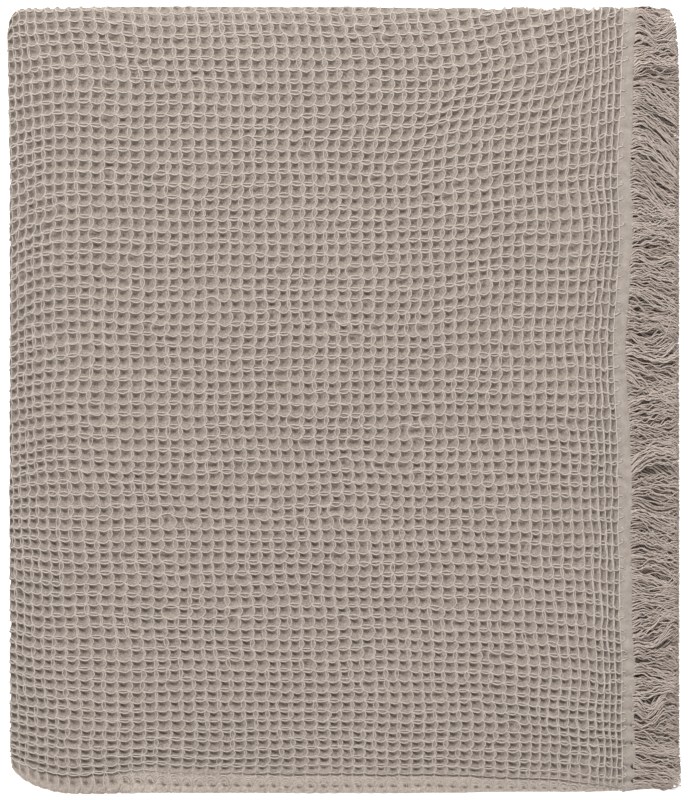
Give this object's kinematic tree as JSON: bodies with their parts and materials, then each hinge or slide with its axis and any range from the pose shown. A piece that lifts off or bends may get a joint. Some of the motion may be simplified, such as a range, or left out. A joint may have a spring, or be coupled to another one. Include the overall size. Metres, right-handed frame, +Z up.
{
  "type": "folded waffle bedspread",
  "caption": "Cotton waffle-weave bedspread with fringed ends, folded into a flat rectangular pile that rests on a surface.",
  "frame": {"origin": "on the resting plane, under the centre of the folded pile's box", "axes": "+X runs along the folded bundles towards the fringed ends, +Y along the long side of the pile, +Z up"},
  "size_m": [0.5711, 0.6677, 0.056],
  "materials": {
    "waffle_cotton": "soft matt waffle weave",
    "fringe_cotton": "plain-woven header with loose crimped yarns"
  },
  "bodies": {
    "root": {"waffle_cloth": "waffle_cotton", "fringe_end_a": "fringe_cotton", "fringe_end_b": "fringe_cotton"}
  },
  "joints": []
}
